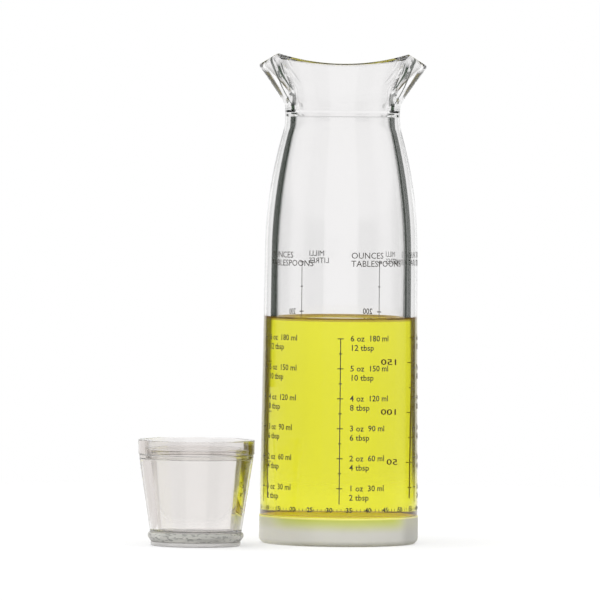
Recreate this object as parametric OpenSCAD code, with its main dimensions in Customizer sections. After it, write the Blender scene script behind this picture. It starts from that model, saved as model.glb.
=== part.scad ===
/* [Base] */
// Outer radius of the base plug
base_r = 33.8; // [31:0.1:42]
// Height of the base plug, table to seam
base_h = 12; // [9:0.5:18]
// Bevel round the bottom edge of the base plug
base_bevel = 1.6; // [0.5:0.1:2.5]
// Width of the ring that the base plug stands on, bevel included
base_wall = 6.6; // [4:0.1:9]
// Thickness of the plug above its recess
base_floor = 4.5; // [2:0.1:7]

/* [Shell] */
// Ledge by which the base plug stands out past the shell
base_ledge = 0.2; // [0:0.1:1]
// How much the shell narrows from its foot to the start of the shoulder
body_taper = 1.25; // [0:0.05:2.5]
// Radius of the hollow in the body
bore_r = 27.3; // [24:0.1:29]
// Height at which the shoulder starts to curve in
body_z = 124; // [112:1:140]
// How far below that the hollow starts to curve in
bore_lead = 6; // [0:0.5:12]
// Height at which the straight neck starts
neck_z = 180.5; // [170:0.5:195]
// Outer radius of the neck
neck_r = 24.4; // [23:0.1:27]
// Wall of the neck
neck_wall = 4.3; // [2.5:0.1:5]
// Radius of the hollow curve from shoulder to neck
neck_curve = 22; // [8:1:40]

/* [Neck ridge] */
// How far the ridge stands into the neck
ridge_h = 0.3; // [0.2:0.05:1]
// Length of the ridge's flat crest
ridge_land = 0.8; // [0.4:0.1:1.2]
// Length of each sloping flank of the ridge
ridge_flank = 1; // [0.5:0.1:2]
// Straight wall left above and below the ridge
ridge_margin = 0.6; // [0.2:0.1:3]

/* [Mouth and pouring lips] */
// Height of the mouth, from the neck to the rim at the middle of its front and back
mouth_h = 19.1; // [15:0.1:26]
// How far the rim's two peaks stand above that
peak_rise = 4.4; // [2:0.1:8]
// How far each lip's tip lies below the peaks
tip_drop = 5.2; // [3:0.1:8]
// Distance of the peaks from the axis
rim_peak_x = 27.6; // [26:0.1:29]
// Outer radius of the round part of the mouth at the rim
mouth_r = 30.6; // [28:0.1:33]
// Wall of the round part of the mouth at the rim
mouth_wall = 2.6; // [1.5:0.1:4]
// Distance of each lip's tip from the axis
lip_reach = 36; // [34:0.1:42]
// Wall under each lip's tip, measured level
lip_wall = 3.4; // [2.5:0.1:5]
// Width of the square end of each lip
lip_end_w = 6.4; // [4:0.2:9]
// Width of the floor of each lip's channel
lip_floor_w = 3.6; // [2:0.2:6]
// Half of the angle that each lip takes up outside
lip_angle = 27; // [22:1:34]
// Half of the angle that each lip's channel takes up
channel_angle = 21; // [15:1:26]
// Height of the stopper's seat, the cone inside the mouth above which the channels open
seat_h = 6; // [3:0.5:10]

/* [Dressing] */
// Height of the surface of the dressing
fill_z = 95.5; // [40:0.5:108]
// Height by which the dressing climbs at the wall
meniscus = 1.2; // [0.4:0.1:2]
// Gap between the dressing and the wall
film_gap = 0.1; // [0.05:0.05:0.3]

/* [Stopper cup] */
// Gap between the cone's foot and the crest of the neck ridge
plug_clear = 0.4; // [0.1:0.05:0.6]
// Slope of the cone away from its axis, in degrees
cone_angle = 8.5; // [6:0.5:10]
// Height of the cone
cone_h = 30.9; // [24:0.1:40]
// Wall of the cup at its floor
cup_wall_low = 3.4; // [2:0.1:4.5]
// Wall of the cup at the top of its cone
cup_wall_high = 4.6; // [3:0.1:5.5]
// Depth of the cup's spigot below the cone
spigot_h = 3.9; // [3:0.1:5]
// How far the cup's floor stands above the foot of the cone
floor_rise = 0.4; // [0.2:0.1:2]
// Height of the cup's own wall inside the collar
cup_lip_h = 2.5; // [1:0.1:4]

/* [Stopper rings] */
// Width of the step that carries the upper ring and the collar
step_w = 2; // [1:0.1:2.6]
// Thickness of the upper ring
upper_ring_h = 1.8; // [1:0.1:3]
// How far the upper ring stands out past the cone
upper_ring_out = 0.1; // [0.1:0.1:0.8]
// Height of the collar
collar_h = 6.3; // [4.5:0.1:10]
// How far the collar stands out past the cone
collar_out = 0.5; // [0.3:0.1:1.5]
// Bevel on the collar's edges
collar_bevel = 0.3; // [0.1:0.1:0.6]
// Radial thickness of the lower seal
seal_w = 3.2; // [2:0.1:4.5]
// How far the lower seal stands out past the foot of the cone
seal_out = 0.8; // [0.4:0.1:1.5]
// How far the lower seal draws in at its underside
seal_draw = 1.2; // [0.4:0.1:2]
// Height above its underside at which the lower seal is at its widest
seal_low = 1.8; // [1:0.1:2]
// How much its top edge is rounded off
seal_round = 0.6; // [0.2:0.1:0.8]
// Height of the foot disc
foot_h = 1.9; // [1.2:0.1:3]
// How far the foot disc lies inside the foot of the cone
foot_in = 0.4; // [0:0.1:1.2]
// Bevel round the foot disc
foot_bevel = 0.4; // [0.1:0.1:0.8]

/* [Standing place of the stopper] */
// Gap between the stopper and the circle round both lips' tips
stand_gap = 6.9; // [0.6:0.1:20]
// Angle from the bottle's left side towards its front
stand_angle = 26.5; // [0:0.5:90]

/* [Hidden] */
$fn = 96;

// Shell
foot_r = base_r - base_ledge;
shoulder_r = foot_r - body_taper;
throat_r = neck_r - neck_wall;
bore_z = body_z - bore_lead;
ridge_r = throat_r - ridge_h;
ridge_z = neck_z + ridge_margin + ridge_flank + ridge_land / 2;
neck_top = ridge_z + ridge_land / 2 + ridge_flank + ridge_margin;
arc_steps = 14;
curve_steps = 5;

// Mouth
seat_z = neck_top + seat_h;
rim_low_z = neck_top + mouth_h;
rim_peak_z = rim_low_z + peak_rise;
lip_tip_z = rim_peak_z - tip_drop;
lip_rings = 9;
seat_rings = 3;
side_steps = 5;
round_steps = 14;
rim_solver_steps = 24;
// Step that hides the seam between the round neck and the shaped mouth
seam_step = 0.05;
end_half = atan(lip_end_w / 2 / lip_reach);
floor_half = atan(lip_floor_w / 2 / (lip_reach - lip_wall));

// Dressing
meniscus_steps = 6;

// Stopper, with the heights counted from the table
seal_z = foot_h;
cone_z = seal_z + spigot_h;
cone_low_r = ridge_r - plug_clear;
cone_high_r = cone_low_r + cone_h * tan(cone_angle);
step_z = cone_z + cone_h;
step_r = cone_high_r - step_w;
collar_z = step_z + upper_ring_h;
collar_r = cone_high_r + collar_out;
stand_r = lip_reach + stand_gap + collar_r;
stopper_at = [-stand_r * cos(stand_angle), -stand_r * sin(stand_angle), 0];
spigot_r = cone_low_r + seal_out - seal_w;
cup_floor_z = cone_z + floor_rise;
cup_low_r = cone_low_r - cup_wall_low;
cup_high_r = cone_high_r - cup_wall_high;

// Points of the S-shaped run from (r0, z0), where it starts upright, in to (r1, z1), where it ends
// upright: an outward arc, then a hollow one of radius curve that it meets smoothly
function s_run(r0, z0, r1, z1, curve) =
    let (
        span = (pow(r0 - r1, 2) + pow(z1 - z0, 2)) / (2 * (r0 - r1)),
        big = span - curve,
        turn = asin((z1 - z0) / span)
    )
    concat(
        [for (i = [0:arc_steps])
            let (a = turn * i / arc_steps)
            [r0 - big * (1 - cos(a)), z0 + big * sin(a)]],
        [for (i = [1:curve_steps])
            let (a = turn * (1 - i / curve_steps))
            [r1 + curve * (1 - cos(a)), z1 - curve * sin(a)]]
    );

function reversed(points) = [for (i = [len(points) - 1:-1:0]) points[i]];

// Height of the rim above the point at distance x from the middle: it rises from the middle to a peak
// on each side, then falls to the tip of the lip
function rim_z(x) =
    abs(x) < rim_peak_x
        ? rim_low_z + (rim_peak_z - rim_low_z) * pow(x / rim_peak_x, 2)
        : rim_peak_z - (rim_peak_z - lip_tip_z) * (abs(x) - rim_peak_x) / (lip_reach - rim_peak_x);

// Outer radius of the round part, and radius of the underside in the middle of a lip, at height z
function round_out(z) = edge_r(z, neck_top, neck_r + seam_step, rim_peak_z, mouth_r);
function lip_out(z) = edge_r(z, neck_top, neck_r + seam_step, lip_tip_z, lip_reach);
function edge_r(z, low, low_r, high, high_r) = low_r + (high_r - low_r) * (z - low) / (high - low);

// Radius of the stopper's seat at height z, at the slope of the stopper's cone and carried on upwards.
// The round part and the channels leave it at seat_z.
function seat_r(z) = throat_r - seam_step + (z - neck_top) * tan(cone_angle);
function round_in(z) = seat_r(z) + past_seat(z, rim_peak_z, mouth_r - mouth_wall);
function lip_in(z) = seat_r(z) + past_seat(z, lip_tip_z, lip_reach - lip_wall);
function past_seat(z, high, high_r) = (high_r - seat_r(high)) * max(0, z - seat_z) / (high - seat_z);

// Share of the lip at angle a from its middle: all of it across the flat end, none past its side
function lip_share(a, flat, side) = a <= flat ? 1 : a >= side ? 0 : (side - a) / (side - flat);

// Column angles over a quarter turn, from the middle of a lip to the middle of the front
function quarter(flat, side) =
    concat(
        [0],
        [for (i = [0:side_steps]) flat + (side - flat) * i / side_steps],
        [for (i = [1:round_steps]) side + (90 - side) * i / round_steps]
    );

// The whole turn as [angle, angle from the middle of the nearer lip]
function full_turn(q) =
    let (last = len(q) - 1)
    concat(
        [for (i = [0:last]) [q[i], q[i]]],
        [for (i = [last - 1:-1:0]) [180 - q[i], q[i]]],
        [for (i = [1:last]) [180 + q[i], q[i]]],
        [for (i = [last - 1:-1:1]) [360 - q[i], q[i]]]
    );

function out_r(a, z) = round_out(z) + (lip_out(z) - round_out(z)) * lip_share(a, end_half, lip_angle);
function in_r(a, z) = round_in(z) + (lip_in(z) - round_in(z)) * lip_share(a, floor_half, channel_angle);

// Height at which the column meets the rim, found by going back and forth between wall and rim
function out_top(t, z, n) = n == 0 ? z : out_top(t, (z + rim_z(out_r(t[1], z) * cos(t[0]))) / 2, n - 1);
function in_top(t, z, n) = n == 0 ? z : in_top(t, (z + rim_z(in_r(t[1], z) * cos(t[0]))) / 2, n - 1);

function at(r, a, z) = [r * cos(a), r * sin(a), z];

// Height of ring k inside, between the neck and a rim at height top: one ring lies on the seat's edge
function in_ring_z(k, top) =
    k < seat_rings
        ? neck_top + (seat_z - neck_top) * k / seat_rings
        : seat_z + (top - seat_z) * (k - seat_rings) / (lip_rings - seat_rings);

module lips() {
    outer = full_turn(quarter(end_half, lip_angle));
    inner = full_turn(quarter(floor_half, channel_angle));
    n = len(outer);
    out_tops = [for (t = outer) out_top(t, lip_tip_z, rim_solver_steps)];
    in_tops = [for (t = inner) in_top(t, lip_tip_z, rim_solver_steps)];
    out_points = [for (k = [0:lip_rings]) for (i = [0:n - 1])
        let (z = neck_top + (out_tops[i] - neck_top) * k / lip_rings)
        at(out_r(outer[i][1], z), outer[i][0], z)];
    in_points = [for (k = [0:lip_rings]) for (i = [0:n - 1])
        let (z = in_ring_z(k, in_tops[i]))
        at(in_r(inner[i][1], z), inner[i][0], z)];
    inside = n * (lip_rings + 1);
    top = n * lip_rings;
    faces = [for (i = [0:n - 1])
        let (j = (i + 1) % n)
        each concat(
            [for (k = [0:lip_rings - 1])
                let (low = n * k, high = n * (k + 1))
                each [[low + i, high + i, high + j], [low + i, high + j, low + j]]],
            [for (k = [0:lip_rings - 1])
                let (low = inside + n * k, high = inside + n * (k + 1))
                each [[low + i, high + j, high + i], [low + i, low + j, high + j]]],
            [[top + i, inside + top + i, inside + top + j], [top + i, inside + top + j, top + j]],
            [[i, j, inside + j], [i, inside + j, inside + i]]
        )];
    polyhedron(points = concat(out_points, in_points), faces = faces, convexity = 8);
}

// Body, shoulder and neck turned in one piece, with the shaped mouth on top
module bottle_shell() {
    color([0.86, 0.87, 0.86, 0.35]) {
        rotate_extrude()
            polygon(concat(
                [[bore_r, base_h], [foot_r, base_h]],
                s_run(shoulder_r, body_z, neck_r, neck_z, neck_curve),
                [[neck_r, neck_top], [throat_r, neck_top]],
                [[throat_r, ridge_z + ridge_land / 2 + ridge_flank]],
                [[ridge_r, ridge_z + ridge_land / 2], [ridge_r, ridge_z - ridge_land / 2]],
                [[throat_r, ridge_z - ridge_land / 2 - ridge_flank]],
                reversed(s_run(bore_r, bore_z, throat_r, neck_z, neck_curve))
            ));
        lips();
    }
}

// Plug with a recessed underside, so that it stands on a ring
module base_plug() {
    recess_h = base_h - base_floor;
    recess_r = base_r - base_wall;
    color([0.78, 0.77, 0.74])
        rotate_extrude()
            polygon([
                [0, recess_h],
                [recess_r, recess_h],
                [recess_r, 0],
                [base_r - base_bevel, 0],
                [base_r, base_bevel],
                [base_r, base_h],
                [0, base_h]
            ]);
}

// Filling from the plug to its surface, which climbs a little at the wall
module dressing() {
    fill_r = bore_r - film_gap;
    color([0.87, 0.89, 0.2])
        rotate_extrude()
            polygon(concat(
                [[0, base_h], [fill_r, base_h], [fill_r, fill_z + meniscus]],
                [for (i = [1:meniscus_steps])
                    let (a = 90 * i / meniscus_steps)
                    [fill_r - meniscus * sin(a), fill_z + meniscus * (1 - sin(a))]],
                [[0, fill_z]]
            ));
}

// Cone with a spigot below for the seal and a step above for the ring and the collar
module stopper_cup() {
    color([0.9, 0.9, 0.87, 0.4])
        translate(stopper_at)
            rotate_extrude()
                polygon([
                    [0, seal_z],
                    [spigot_r, seal_z],
                    [spigot_r, cone_z],
                    [cone_low_r, cone_z],
                    [cone_high_r, step_z],
                    [step_r, step_z],
                    [step_r, collar_z + cup_lip_h],
                    [cup_high_r, collar_z + cup_lip_h],
                    [cup_high_r, step_z],
                    [cup_low_r, cup_floor_z],
                    [0, cup_floor_z]
                ]);
}

// Thin ring that lies on the cup's step
module stopper_upper_ring() {
    color([0.75, 0.76, 0.7])
        translate(stopper_at + [0, 0, step_z])
            difference() {
                cylinder(h = upper_ring_h, r = cone_high_r + upper_ring_out);
                translate([0, 0, -upper_ring_h])
                    cylinder(h = 3 * upper_ring_h, r = step_r);
            }
}

// Rim band round the top of the cup, taller than the cup's own wall
module stopper_collar() {
    color([0.92, 0.92, 0.89])
        translate(stopper_at + [0, 0, collar_z])
            rotate_extrude()
                polygon([
                    [step_r, 0],
                    [collar_r - collar_bevel, 0],
                    [collar_r, collar_bevel],
                    [collar_r, collar_h - collar_bevel],
                    [collar_r - collar_bevel, collar_h],
                    [step_r + collar_bevel, collar_h],
                    [step_r, collar_h - collar_bevel]
                ]);
}

// Soft ring round the spigot, widest above its middle and drawn in below
module stopper_lower_seal() {
    seal_r = cone_low_r + seal_out;
    color([0.6, 0.6, 0.52])
        translate(stopper_at + [0, 0, seal_z])
            rotate_extrude()
                polygon([
                    [spigot_r, 0],
                    [seal_r - seal_draw, 0],
                    [seal_r, seal_low],
                    [seal_r, spigot_h - seal_round],
                    [seal_r - seal_round, spigot_h],
                    [spigot_r, spigot_h]
                ]);
}

// Disc that holds the seal on the spigot and stands on the table
module stopper_foot() {
    foot_disc_r = cone_low_r - foot_in;
    color([0.8, 0.8, 0.75])
        translate(stopper_at)
            rotate_extrude()
                polygon([
                    [0, 0],
                    [foot_disc_r - foot_bevel, 0],
                    [foot_disc_r, foot_bevel],
                    [foot_disc_r, foot_h],
                    [0, foot_h]
                ]);
}

bottle_shell();
base_plug();
dressing();
stopper_cup();
stopper_upper_ring();
stopper_collar();
stopper_lower_seal();
stopper_foot();
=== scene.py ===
"""Salad dressing shaker bottle with its stopper cup: looks, print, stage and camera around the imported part."""

import math

import bpy
from bpy.props import FloatProperty, FloatVectorProperty, IntProperty, PointerProperty
from mathutils import Matrix, Vector


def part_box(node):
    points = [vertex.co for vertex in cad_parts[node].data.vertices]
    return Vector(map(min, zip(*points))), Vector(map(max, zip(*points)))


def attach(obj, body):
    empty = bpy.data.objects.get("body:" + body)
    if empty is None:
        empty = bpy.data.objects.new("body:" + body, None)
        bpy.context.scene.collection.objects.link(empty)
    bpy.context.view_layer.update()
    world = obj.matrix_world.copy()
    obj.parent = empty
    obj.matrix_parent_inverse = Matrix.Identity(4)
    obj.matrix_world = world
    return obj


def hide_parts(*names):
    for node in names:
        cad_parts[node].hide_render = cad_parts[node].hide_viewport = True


bl_info = {
    "name": "Dressing Shaker Bottle",
    "version": (1, 0, 0),
    "blender": (4, 5, 0),
    "location": "View3D > Sidebar > Shaker",
    "description": "Builds a clear dressing bottle with pouring lips, its filling, scales and stopper cup",
    "category": "Object",
}

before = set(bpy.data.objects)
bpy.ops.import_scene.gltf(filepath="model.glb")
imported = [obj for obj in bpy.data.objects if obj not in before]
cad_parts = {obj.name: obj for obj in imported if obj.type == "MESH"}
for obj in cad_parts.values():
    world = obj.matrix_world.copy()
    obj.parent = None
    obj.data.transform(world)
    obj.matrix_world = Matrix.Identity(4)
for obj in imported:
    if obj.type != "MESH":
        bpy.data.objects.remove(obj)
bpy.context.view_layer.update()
BASE_LOW, BASE_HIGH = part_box("base_plug")
SHELL_LOW, SHELL_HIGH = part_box("bottle_shell")
FILL_LOW, FILL_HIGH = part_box("dressing")
CUP_LOW, CUP_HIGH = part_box("stopper_cup")
RING_LOW, RING_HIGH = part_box("stopper_upper_ring")
COLLAR_LOW, COLLAR_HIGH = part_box("stopper_collar")
SEAL_LOW, SEAL_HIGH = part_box("stopper_lower_seal")
FOOT_LOW, FOOT_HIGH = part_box("stopper_foot")
STOPPER = ((CUP_LOW.x + CUP_HIGH.x) / 2, (CUP_LOW.y + CUP_HIGH.y) / 2)
MM = 0.001


def size(name, text, default, unit="LENGTH"):
    """A size property whose default is in metres, or in radians for an angle."""
    return FloatProperty(name=name, description=text, default=default, unit=unit, precision=5)


def tint(name, text, default):
    return FloatVectorProperty(name=name, description=text, default=default, size=3, subtype="COLOR",
                               min=0, max=1)


def amount(name, text, default):
    return FloatProperty(name=name, description=text, default=default)


class BottleSizes(bpy.types.PropertyGroup):
    turns: IntProperty(name="Turning steps", description="Faces round each turned piece", default=256)
    base_r: size("Base radius", "Outer radius of the base plug", BASE_HIGH.x)
    base_h: size("Base height", "Table to seam", BASE_HIGH.z)
    base_bevel: size("Base bevel", "Bevel round the base plug's bottom edge", 1.6 * MM)
    recess_r: size("Recess radius", "Radius of the hollow under the base plug", 27.2 * MM)
    recess_h: size("Recess depth", "Depth of the hollow under the base plug", 7.5 * MM)
    foot_r: size("Shell foot radius", "Outer radius of the shell at the seam", 33.6 * MM)
    shoulder_r: size("Shoulder radius", "Outer radius where the shoulder starts", 32.35 * MM)
    shoulder_z: size("Shoulder height", "Height at which the shoulder starts", 124 * MM)
    bore_r: size("Bore radius", "Radius of the hollow in the body", 27.3 * MM)
    bore_z: size("Bore height", "Height at which the hollow starts to narrow", 118 * MM)
    neck_r: size("Neck radius", "Outer radius of the neck", 24.4 * MM)
    throat_r: size("Throat radius", "Inner radius of the neck", 20.1 * MM)
    neck_z: size("Neck height", "Height at which the neck runs straight", 180.5 * MM)
    neck_curve: size("Neck curve", "Radius of the hollow curve under the neck", 22 * MM)
    ridge_r: size("Ridge radius", "Inner radius at the crest of the neck ridge", 19.8 * MM)
    ridge_z: size("Ridge height", "Height of the middle of the neck ridge", 182.5 * MM)
    ridge_land: size("Ridge crest", "Length of the ridge's flat crest", 0.8 * MM)
    ridge_flank: size("Ridge flank", "Length of each flank of the ridge", 1 * MM)
    neck_top: size("Neck top", "Height at which the mouth starts to flare", 184.5 * MM)
    seam_gap: size("Seam gap", "Hairline between the shell and the base plug", 0.06 * MM)


class LipSizes(bpy.types.PropertyGroup):
    low_z: size("Rim height", "Height of the rim at its front and back", 203.6 * MM)
    peak_z: size("Peak height", "Height of the rim's two peaks", SHELL_HIGH.z)
    peak_x: size("Peak distance", "Distance of the peaks from the axis", 27.6 * MM)
    tip_z: size("Tip height", "Height of each lip's tip", 202.8 * MM)
    reach: size("Lip reach", "Distance of each lip's tip from the axis", SHELL_HIGH.x)
    mouth_r: size("Mouth radius", "Outer radius of the round mouth at peak height", 30.6 * MM)
    mouth_wall: size("Mouth wall", "Wall of the round mouth at peak height", 2.6 * MM)
    wall: size("Lip wall", "Wall under each lip's tip, measured level", 3.4 * MM)
    end_half: size("End half angle", "Half of the angle across the square end", math.radians(5.1), "ROTATION")
    side_half: size("Side half angle", "Half of the angle across a lip", math.radians(27), "ROTATION")
    floor_half: size("Channel floor half angle", "Half of the channel floor's angle", math.radians(3.3), "ROTATION")
    channel_half: size("Channel half angle", "Half of the angle across a channel", math.radians(21), "ROTATION")
    seat_slope: size("Seat slope", "Slope of the seat for the stopper", math.radians(8.5), "ROTATION")
    seat_z: size("Seat height", "Height at which the seat ends and the channels start", 190.5 * MM)
    ease: size("Inner ease", "Length over which the mouth opens above its seat", 1 * MM)
    outer_ease: size("Outer ease", "Length over which the outside starts to flare", 2.5 * MM)
    soft: amount("Crease softness", "Share of a lip's side over which its creases are rounded", 0.12)
    rim_round: size("Rim rounding", "Rounding of the rim's two edges", 1.2 * MM)


class FillSizes(bpy.types.PropertyGroup):
    level: size("Level", "Height of the dressing's flat surface", 95.5 * MM)
    climb: size("Meniscus", "Height by which the dressing climbs at the wall", 0.8 * MM)
    # painted shade: depth and height of the brown lines painted at the dressing's surface and at its bottom
    skin: size("Surface line", "Depth below the surface that looks brown", 0.6 * MM)
    sump: size("Bottom line", "Height above the bottom that looks brown", 1 * MM)


class CupSizes(bpy.types.PropertyGroup):
    turns: IntProperty(name="Turning steps", description="Faces round each turned piece", default=192)
    wall_low: size("Wall at the floor", "Wall of the cup at its floor", 3.4 * MM)
    wall_high: size("Wall at the top", "Wall of the cup at the top of its cone", 4.6 * MM)
    cone_low_r: size("Cone foot radius", "Outer radius of the cone's foot", 19.4 * MM)
    floor_rise: size("Floor rise", "Height of the cup's floor above the cone's foot", 0.4 * MM)
    step_w: size("Step width", "Width of the step under the ring and the collar", 2 * MM)
    edge: size("Edge rounding", "Rounding of the cup's and the collar's edges", 0.35 * MM)
    wave: size("Rim wave", "How far the collar's top edge rises and falls", 0.12 * MM)
    waves: IntProperty(name="Rim waves", description="Waves round the collar's top edge", default=9)
    fit_gap: size("Fit gap", "Hairline between pieces that sit on each other", 0.05 * MM)


class PrintSizes(bpy.types.PropertyGroup):
    columns: IntProperty(name="Columns", description="Measuring scales round the body", default=5)
    line_w: size("Line width", "Width of the printed lines", 0.4 * MM)
    tick: size("Tick length", "Length of a whole step's tick", 2.6 * MM)
    digit: size("Row text", "Type size of the rows", 3.5 * MM)
    row_x: size("Row place", "From the scale's line to the text", 4.1 * MM)
    row_gap: size("Row gap", "From a row to the one below it", 3.9 * MM)
    heading: size("Heading text", "Type size of the headings", 3.7 * MM)
    heading_z: size("Heading height", "Height of the upper heading", 122.7 * MM)
    row_step: size("Heading step", "From one heading to the next", 3.4 * MM)
    ring_marks: IntProperty(name="Ring marks", description="Numbers round the front of the foot", default=12)
    ring_step: size("Ring step", "Distance between the numbers at the foot", 8.4 * MM)
    ring_z: size("Ring height", "Height of the row of numbers at the foot", 15.4 * MM)
    ring_digit: size("Ring text", "Type size of the numbers at the foot", 2.8 * MM)
    film: size("Ink thickness", "How far the ink stands on the wall", 0.03 * MM)
    low_z: size("Scale foot", "Height at which the scales start", 18 * MM)
    ounce: size("Ounce step", "Height that one fluid ounce takes up", 12.63 * MM)
    fifty_ml: size("Fifty millilitre step", "Height that fifty millilitres take up", 21.35 * MM)


class Finishes(bpy.types.PropertyGroup):
    clear: tint("Clear plastic", "Body of the bottle", (0.95, 0.945, 0.945))
    frost: tint("Frosted plastic", "Base plug", (0.97, 0.96, 0.935))
    # painted light: colour that stands for the dressing's light in the base plug
    glow: tint("Base glow", "Light of the dressing in the base plug", (0.72, 0.8, 0.16))
    oil: tint("Dressing", "Colour through the whole filling", (0.845, 0.87, 0.04))
    cup: tint("Cup plastic", "Stopper cup", (0.897, 0.88, 0.868))
    collar: tint("Collar plastic", "Rim band of the stopper cup", (0.9, 0.882, 0.872))
    ring: tint("Ring plastic", "Upper ring and foot disc", (0.9, 0.885, 0.865))
    seal: tint("Seal", "Lower seal", (0.93, 0.92, 0.86))
    # painted shade: colours of the dark streaks on the lips and of the olive band along their edges
    streak: tint("Lip streaks", "Dark streaks where the wall turns into the lips", (0.006, 0.012, 0.006))
    olive: tint("Lip edges", "Olive tone of the thick edges of the lips and the rim", (0.03, 0.022, 0.0012))
    ink: tint("Ink", "Printed scales", (0.035, 0.028, 0.02))
    shell_ior: amount("Shell index", "Refractive index of the bottle's plastic", 1.49)
    oil_ior: amount("Dressing index", "Refractive index of the dressing", 1.268)
    # painted shade: brown of the dressing along the wall at its surface and bottom
    skin: tint("Surface line", "Dressing where it meets the air and the bottom", (0.28, 0.2, 0.045))


class StageSettings(bpy.types.PropertyGroup):
    distance: size("Camera distance", "From the camera to the bottle's axis", 3.5)
    height: size("Camera height", "Height of the camera above the table", 0.198)
    aim_x: size("Aim sideways", "Where the camera aims, from the bottle's axis", -0.0173)
    aim_z: size("Aim height", "Height at which the camera aims", 0.1031)
    view_w: size("View width", "Width that the picture shows at the axis", 0.255)
    roll: size("Camera roll", "Turn of the camera about its own view", math.radians(0.57), "ROTATION")


class Value:
    """A shader socket that takes part in plain sums."""

    def __init__(self, net, socket):
        self.net = net
        self.socket = socket

    def math(self, operation, *others):
        return self.net.add("ShaderNodeMath", {"operation": operation}, self, *others)

    def __add__(self, other):
        return self.math("ADD", other)

    def __sub__(self, other):
        return self.math("SUBTRACT", other)

    def __mul__(self, other):
        return self.math("MULTIPLY", other)

    def __truediv__(self, other):
        return self.math("DIVIDE", other)

    def __rsub__(self, other):
        return self.net.add("ShaderNodeMath", {"operation": "SUBTRACT"}, other, self)

    __radd__ = __add__
    __rmul__ = __mul__


class Net:
    """A node tree that is written as expressions. add() makes any node and returns its first output."""

    def __init__(self, owner):
        owner.use_nodes = True
        self.tree = owner.node_tree
        self.tree.nodes.clear()

    def node(self, kind, settings, *values, **named):
        node = self.tree.nodes.new(kind)
        for key, setting in settings.items():
            if key == "stops":
                self.set_stops(node.color_ramp, setting)
            else:
                setattr(node, key, setting)
        for key, value in list(enumerate(values)) + [(k.replace("_", " "), v) for k, v in named.items()]:
            if value is None:
                continue
            if isinstance(value, Value):
                self.tree.links.new(value.socket, node.inputs[key])
            else:
                node.inputs[key].default_value = value
        return node

    def add(self, kind, settings, *values, **named):
        return Value(self, self.node(kind, settings, *values, **named).outputs[0])

    @staticmethod
    def set_stops(ramp, stops):
        while len(ramp.elements) < len(stops):
            ramp.elements.new(0.5)
        for element, (place, shade) in zip(ramp.elements, stops):
            element.position = place
            element.color = (shade, shade, shade, 1)

    def parts(self, vector):
        node = self.node("ShaderNodeSeparateXYZ", {}, vector)
        return [Value(self, socket) for socket in node.outputs]

    def coordinates(self, kind="Object"):
        return Value(self, self.node("ShaderNodeTexCoord", {}).outputs[kind])

    def noise(self, scale, detail=2.0, place=None, rough=0.5):
        node = self.node("ShaderNodeTexNoise", {}, Vector=place or self.coordinates(), Scale=scale,
                         Detail=detail, Roughness=rough)
        return Value(self, node.outputs["Fac"])

    def ramp(self, value, low, high, smooth=True):
        return self.add("ShaderNodeMapRange", {"interpolation_type": "SMOOTHSTEP" if smooth else "LINEAR"},
                        Value=value, From_Min=low, From_Max=high, To_Min=0.0, To_Max=1.0)

    def mix(self, share, one, two):
        node = self.node("ShaderNodeMix", {"data_type": "RGBA"})
        for socket, value in ((node.inputs[0], share), (node.inputs[6], one), (node.inputs[7], two)):
            if isinstance(value, Value):
                self.tree.links.new(value.socket, socket)
            else:
                socket.default_value = value
        return Value(self, node.outputs[2])

    def bump(self, height, distance, strength=1.0):
        node = self.node("ShaderNodeBump", {}, Height=height, Distance=distance, Strength=strength)
        return Value(self, node.outputs["Normal"])

    def surface(self, shader, output="ShaderNodeOutputMaterial"):
        self.node(output, {}, shader)


def rgba(colour, factor=1.0):
    return (*[min(1.0, channel * factor) for channel in colour], 1.0)


def new_net(name):
    material = bpy.data.materials.new(name)
    return material, Net(material)


def clear_plastic(name, colour, ior, haze=0.02, wave=0.02 * MM, clarity=1.0, marks=None):
    """Clear moulded plastic: a faint haze where it has been handled, and slow waves left by the mould.
    marks(net, shade, x, y, z) may paint shade into the colour where light leaves the wall sideways, or draw dark
    joint lines."""
    material, net = new_net(name)
    place = net.coordinates()
    x, y, z = net.parts(place)
    drawn = net.add("ShaderNodeCombineXYZ", {}, x, y, z * 0.35)
    flow = net.noise(60.0, 2.0, drawn)
    smudge = net.ramp(net.noise(28.0, 3.0, place), 0.5, 0.75)
    shade = net.mix(smudge, rgba(colour), rgba(colour, 0.985))
    if marks:
        shade = marks(net, shade, x, y, z)
    shader = net.add("ShaderNodeBsdfPrincipled", {}, Base_Color=shade, Roughness=smudge * haze, IOR=ior,
                     Transmission_Weight=clarity, Normal=net.bump(flow, wave))
    net.surface(shader)
    return material


def band(net, value, low, high, soft):
    """One between low and high, fading to nothing over soft on both sides."""
    return net.ramp(value, low - soft, low) * (1.0 - net.ramp(value, high, high + soft))


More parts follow.
